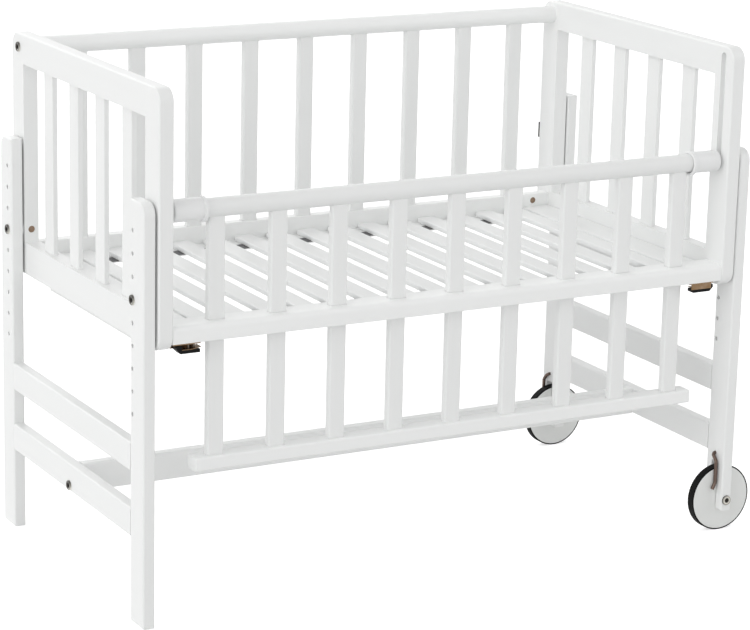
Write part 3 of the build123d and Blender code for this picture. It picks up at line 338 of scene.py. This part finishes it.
def bolts_of(node, length, shank_r, head_r, head_h, places, painted_light, one_sided):
    """One piece for all the bolts of a CAD node; places lists (seat, outwards). The painted light
    of a row is multiplied by 1 - one_sided * (1 - max(0, cos(a - the highlight's angle))^2), which
    keeps the painted highlight on one side of the head; with one_sided at 0 it is the same all
    around."""
    profile = bolt_profile(length, shank_r, head_r, head_h, painted_light)
    a = np.linspace(0.0, 2 * math.pi, AROUND, endpoint=False)
    highlight_here = 1 - one_sided * (1 - np.maximum(0.0, np.cos(a - HIGHLIGHT_AT)) ** 2)
    grids = np.stack([turned(profile, seat, out, FIRST_TWIST + NEXT_TWIST * i)
                      for i, (seat, out) in enumerate(places)])
    piece = closed_surface("fine_" + node, grids, profile[:, 3, None] * highlight_here)
    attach(piece, "crib_frame")
    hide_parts(node)
    return piece


def head_radius(node):
    """Half the height of the node's box, because the heads are its widest part."""
    low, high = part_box(node)
    return (high.z - low.z) / 2


def end_places(node, head_r, head_h):
    """Seats of the bolts of a node that point along X: one row at each end, at the front and
    at the back of the node's box, or once where the box is only as deep as a head."""
    low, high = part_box(node)
    z = (low.z + high.z) / 2
    ys = {round(low.y + head_r, 5), round(high.y - head_r, 5)}
    return [((x - way * head_h, y, z), (way, 0.0, 0.0))
            for x, way in ((low.x, -1.0), (high.x, 1.0)) for y in sorted(ys)]


slot_of = {s["node"]: s["material_slot"] for s in frame["record"]["subparts"]}
fasteners = []
for node, length in LENGTH.items():
    head_r = head_radius(node)
    fasteners.append(bolts_of(node, length, SHANK_R, head_r, HEAD_H,
                              end_places(node, head_r, HEAD_H), END_PAINTED_LIGHT, END_HIGHLIGHT_ONE_SIDED))
low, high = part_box("axle_bolts")
x, z = (low.x + high.x) / 2, (low.z + high.z) / 2
axle_places = [((x, low.y + AXLE_HEAD_H, z), (0.0, -1.0, 0.0)),
               ((x, high.y - AXLE_HEAD_H, z), (0.0, 1.0, 0.0))]
fasteners.append(bolts_of("axle_bolts", AXLE_LENGTH, AXLE_R, head_radius("axle_bolts"),
                          AXLE_HEAD_H, axle_places, AXLE_PAINTED_LIGHT, 0.0))
print("bolts", [(o.name, len(o.data.polygons)) for o in fasteners])

# %% [markdown]
# ### Webbing under the slats
# Two bands of webbing join the slats from below. Each is a flat closed tube along X. Its
# cross-section is a flattened superellipse, and between two slats it sags by
# depth * sin(pi * t)^2, with t running from 0 to 1 across the gap.

# %% Webbing
SLAT_W = 0.032
SLAT_AIM = 0.0535
SAG = 0.0006
BAND_W = 0.025
BAND_T = 0.0010
BAND_ROUND = 6.0
BAND_COLUMNS = 40
ROWS_A_SLAT = 20


def webbing_grid(ys, xs, top, pitch, first):
    """Rows along X, columns around the band; the first and the last row are poles."""
    rows = int((xs[1] - xs[0]) / pitch * ROWS_A_SLAT)
    x = np.concatenate([[xs[0]], np.linspace(xs[0], xs[1], rows), [xs[1]]])
    full = np.ones_like(x)
    full[[0, -1]] = 0.0
    t = np.clip((np.mod(x - first, pitch) - SLAT_W) / (pitch - SLAT_W), 0.0, 1.0)
    drop = SAG * np.sin(math.pi * t) ** 2
    a = np.linspace(0.0, 2 * math.pi, BAND_COLUMNS, endpoint=False)
    power = 2.0 / BAND_ROUND
    wide = np.sign(np.cos(a)) * np.abs(np.cos(a)) ** power * (ys[1] - ys[0]) / 2
    thick = np.sign(np.sin(a)) * np.abs(np.sin(a)) ** power * BAND_T / 2
    grid = np.empty((len(x), len(a), 3))
    grid[..., 0] = x[:, None]
    grid[..., 1] = (ys[0] + ys[1]) / 2 + full[:, None] * wide
    grid[..., 2] = top - BAND_T / 2 - drop[:, None] + full[:, None] * thick
    return grid


low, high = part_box("base_straps")
slats_low, slats_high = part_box("base_slats")
count = 1 + round((slats_high.x - slats_low.x - SLAT_W) / SLAT_AIM)
pitch = (slats_high.x - slats_low.x - SLAT_W) / (count - 1)
bands = np.stack([webbing_grid(ys, (low.x, high.x), high.z, pitch, slats_low.x)
                  for ys in ((low.y, low.y + BAND_W), (high.y - BAND_W, high.y))])
webbing = closed_surface("slat_webbing", bands)
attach(webbing, "crib_frame")
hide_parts("base_straps")
print("webbing", len(webbing.data.polygons), "faces over", count, "slats")

# %% [markdown]
# ## Finishes
# Almost everything is beech under a white satin lacquer. On such boards the lacquer is
# sprayed over sanded wood: the colour is even, and only a very faint grain shows as relief.
# A helper builds each finish from the same few parts: a base colour that varies slightly
# with noise, a roughness that varies a little too, and a bump. All patterns read Object
# coordinates, which are the crib's own metres.

# %% Finish helper
NOISE_DETAIL = 4.0
MIX_FIRST, MIX_SECOND, MIX_RESULT = 6, 7, 2  # the colour sockets of a Mix node


def finish(name, colour, vary, rough, rough_vary, scale, stretch, bump, sockets=None):
    """A Principled finish. Noise at the scale given, stretched per axis, moves the colour by
    up to vary, the roughness by up to rough_vary and the surface by bump (metres). Further
    shader sockets are set to the constants given."""
    material, tree, out = new_material(name)
    shader = tree.nodes.new("ShaderNodeBsdfPrincipled")
    tree.links.new(shader.outputs[0], out.inputs["Surface"])
    place = tree.nodes.new("ShaderNodeTexCoord")
    fit = tree.nodes.new("ShaderNodeMapping")
    fit.inputs["Scale"].default_value = stretch
    noise = tree.nodes.new("ShaderNodeTexNoise")
    noise.inputs["Scale"].default_value = scale
    noise.inputs["Detail"].default_value = NOISE_DETAIL
    tree.links.new(place.outputs["Object"], fit.inputs["Vector"])
    tree.links.new(fit.outputs[0], noise.inputs["Vector"])
    tint = tree.nodes.new("ShaderNodeMix")
    tint.data_type = "RGBA"
    low = [max(0.0, c - vary) for c in colour]
    high = [min(1.0, c + vary) for c in colour]
    tint.inputs[MIX_FIRST].default_value = (*low, 1.0)
    tint.inputs[MIX_SECOND].default_value = (*high, 1.0)
    tree.links.new(noise.outputs["Fac"], tint.inputs["Factor"])
    tree.links.new(tint.outputs[MIX_RESULT], shader.inputs["Base Color"])
    gloss = tree.nodes.new("ShaderNodeMapRange")
    gloss.inputs["To Min"].default_value = rough - rough_vary
    gloss.inputs["To Max"].default_value = rough + rough_vary
    tree.links.new(noise.outputs["Fac"], gloss.inputs["Value"])
    tree.links.new(gloss.outputs[0], shader.inputs["Roughness"])
    if bump:
        relief = tree.nodes.new("ShaderNodeBump")
        relief.inputs["Strength"].default_value = 1.0
        relief.inputs["Distance"].default_value = bump
        tree.links.new(noise.outputs["Fac"], relief.inputs["Height"])
        tree.links.new(relief.outputs[0], shader.inputs["Normal"])
    for socket, value in (sockets or {}).items():
        shader.inputs[socket].default_value = value
    return material


# %% [markdown]
# ### White lacquer
# The grain runs along each board, so there is a lacquer for each direction. The noise is
# squeezed across the grain and drawn out along it, and it is broad enough for neighbouring
# slats to differ a little. The flat rails are painted a little whiter than the upright boards,
# painted light, and the round rail of the drop side a little greyer, painted shade, so these
# have whites of their own: lit and shaded copies of the same lacquer.

# %% White lacquer
WHITE = (0.86, 0.868, 0.862)
# The whiter rail lacquer is painted light, and the greyer round-rail lacquer is painted shade.
RAIL_WHITE_PAINTED_LIGHT = (0.91, 0.918, 0.912)
ROUND_WHITE_PAINTED_SHADE = (0.84, 0.848, 0.842)
GRAIN_ALONG, GRAIN_ACROSS = 4.0, 38.0
GRAIN_BUMP = 0.00012
LACQUER_VARY, LACQUER_ROUGH, LACQUER_ROUGH_VARY = 0.018, 0.42, 0.06
along = {
    "x": (GRAIN_ALONG, GRAIN_ACROSS, GRAIN_ACROSS),
    "y": (GRAIN_ACROSS, GRAIN_ALONG, GRAIN_ACROSS),
    "z": (GRAIN_ACROSS, GRAIN_ACROSS, GRAIN_ALONG),
}
# The lacquer along X is the whiter one, painted light.
lacquer = {
    axis: finish(f"white_lacquer_{axis}", colour, LACQUER_VARY, LACQUER_ROUGH,
                 LACQUER_ROUGH_VARY, 1.0, along[axis[0]], GRAIN_BUMP)
    for axis, colour in (("x", RAIL_WHITE_PAINTED_LIGHT), ("y", WHITE), ("z", WHITE),
                         ("x_round", ROUND_WHITE_PAINTED_SHADE))
}
print("lacquers", sorted(lacquer))

# %% Painted light on the steel, and webbing


def paint_light_and_shade(material, dark):
    """Blend the finish's bright colour, a painted highlight, towards the dark colour given, the
    bolt's black with painted shade, as the point value of painted light falls to 0.
    """
    tree = material.node_tree
    base = tree.nodes["Principled BSDF"].inputs["Base Color"]
    bright = base.links[0].from_socket
    light_attribute = tree.nodes.new("ShaderNodeAttribute")
    light_attribute.attribute_name = "painted_light"
    blend = tree.nodes.new("ShaderNodeMix")
    blend.data_type = "RGBA"
    blend.inputs[MIX_FIRST].default_value = (*dark, 1.0)
    tree.links.new(light_attribute.outputs["Fac"], blend.inputs["Factor"])
    tree.links.new(bright, blend.inputs[MIX_SECOND])
    tree.links.new(blend.outputs[MIX_RESULT], base)


def woven(material, rib, depth):
    """Give the finish ribs along Y every rib metres, crossed by weft half as far apart:
    height = depth * (rib wave + weft wave) / 2."""
    tree = material.node_tree
    place = tree.nodes["Texture Coordinate"]
    total = tree.nodes.new("ShaderNodeMath")
    total.operation = "ADD"
    for socket, axis, period in ((0, "X", rib), (1, "Y", rib / 2)):
        wave = tree.nodes.new("ShaderNodeTexWave")
        wave.bands_direction = axis
        wave.inputs["Scale"].default_value = math.pi / (10.0 * period)
        tree.links.new(place.outputs["Object"], wave.inputs["Vector"])
        tree.links.new(wave.outputs["Fac"], total.inputs[socket])
    relief = tree.nodes.new("ShaderNodeBump")
    relief.inputs["Distance"].default_value = depth / 2
    tree.links.new(total.outputs[0], relief.inputs["Height"])
    tree.links.new(relief.outputs[0], tree.nodes["Principled BSDF"].inputs["Normal"])


# %% Plastics, rubber and metals
EVEN = (1.0, 1.0, 1.0)
METAL = {"Metallic": 1.0}
COATED_METAL = {"Metallic": 0.8}
DULL = {"Specular IOR Level": 0.1}
BLACK = (0.005, 0.005, 0.005)
# The bolts' own black, deepened by painted shade in the socket and at the head's edge.
BLACK_AND_PAINTED_SHADE = (0.03, 0.027, 0.024)
RIB, RIB_DEPTH = 0.0016, 0.0003
FACTS = {  # name, colour, vary, roughness, its vary, noise scale, stretch, bump, sockets
    "white_plastic": ("white_plastic", (0.84, 0.845, 0.845), 0.008, 0.33, 0.04, 300.0, EVEN, 2e-5),
    "grey_plastic": ("grey_disc", (0.79, 0.80, 0.785), 0.01, 0.48, 0.05, 120.0, EVEN, 4e-5),
    "black_plastic": ("black_plastic", BLACK, 0.003, 0.45, 0.08, 400.0, EVEN, 4e-5, DULL),
    "black_rubber": ("black_rubber", BLACK, 0.003, 0.7, 0.1, 500.0, EVEN, 8e-5, DULL),
    "black_webbing": ("black_webbing", (0.165, 0.165, 0.168), 0.02, 0.85, 0.06, 900.0, EVEN, 0),
    # The bolts' bright metal colour is their painted highlight.
    "black_steel": ("dark_steel_painted_light", (0.68, 0.66, 0.60), 0.04, 0.30, 0.1, 250.0, EVEN, 1e-5, METAL),
    "zinc_steel": ("zinc_steel", (0.14, 0.12, 0.10), 0.04, 0.35, 0.1, 250.0, EVEN, 1e-5, METAL),
    "batten_screws": ("bright_zinc", (0.60, 0.60, 0.58), 0.05, 0.45, 0.1, 250.0, EVEN, 1e-5, METAL),
    "nut_brass": ("dull_brass", (0.30, 0.21, 0.15), 0.05, 0.4, 0.1, 300.0, EVEN, 1e-5, METAL),
    "spring_brass": ("rolled_brass", (0.21, 0.14, 0.085), 0.06, 0.24, 0.1, 110.0, EVEN, 1e-5,
                     METAL),
    "wire_bronze": ("bronze_wire", (0.12, 0.085, 0.07), 0.03, 0.34, 0.1, 400.0, EVEN, 2e-5,
                    COATED_METAL),
    "beech": ("raw_beech", (0.60, 0.40, 0.22), 0.06, 0.6, 0.1, 1.0, along["y"], 1e-4),
}
finishes = {slot: finish(*facts) for slot, facts in FACTS.items()}
woven(finishes["black_webbing"], RIB, RIB_DEPTH)
# The bolts get painted highlights and painted shade from their point values.
paint_light_and_shade(finishes["black_steel"], BLACK_AND_PAINTED_SHADE)
print("finishes", sorted(finishes))

# %% [markdown]
# ### Give every CAD node its finish
# The record names a material slot for each node. A wooden node takes the lacquer whose
# grain runs along its longest side, except the slat groups, whose longest side is the row
# and not the slat. The small screws of the battens are brighter than the other zinc.

# %% Assign the finishes
UPRIGHT = ("end_slats", "back_slats", "drop_slats")


def grain_axis(name):
    """x, y or z: along the longest side of the node, or along the slats of a group."""
    if name.endswith(UPRIGHT):
        return "z"
    # The round rail takes the greyer lacquer, painted shade.
    if name == "drop_top_rail":
        return "x_round"
    if name in ("base_slats", "base_end_cleats"):
        return "y"
    low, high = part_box(name)
    return "xyz"[int(np.argmax(np.array(high) - np.array(low)))]


for name, obj in nodes.items():
    if slot_of[name] == "white_wood":
        chosen = lacquer[grain_axis(name)]
    else:
        chosen = finishes.get(name, finishes[slot_of[name]])
    for place in obj.material_slots:
        place.material = chosen
for piece in fasteners:
    piece.data.materials.append(finishes["black_steel"])
webbing.data.materials.append(finishes["black_webbing"])
print("dressed", len(nodes), "nodes")

# %% Close
low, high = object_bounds()
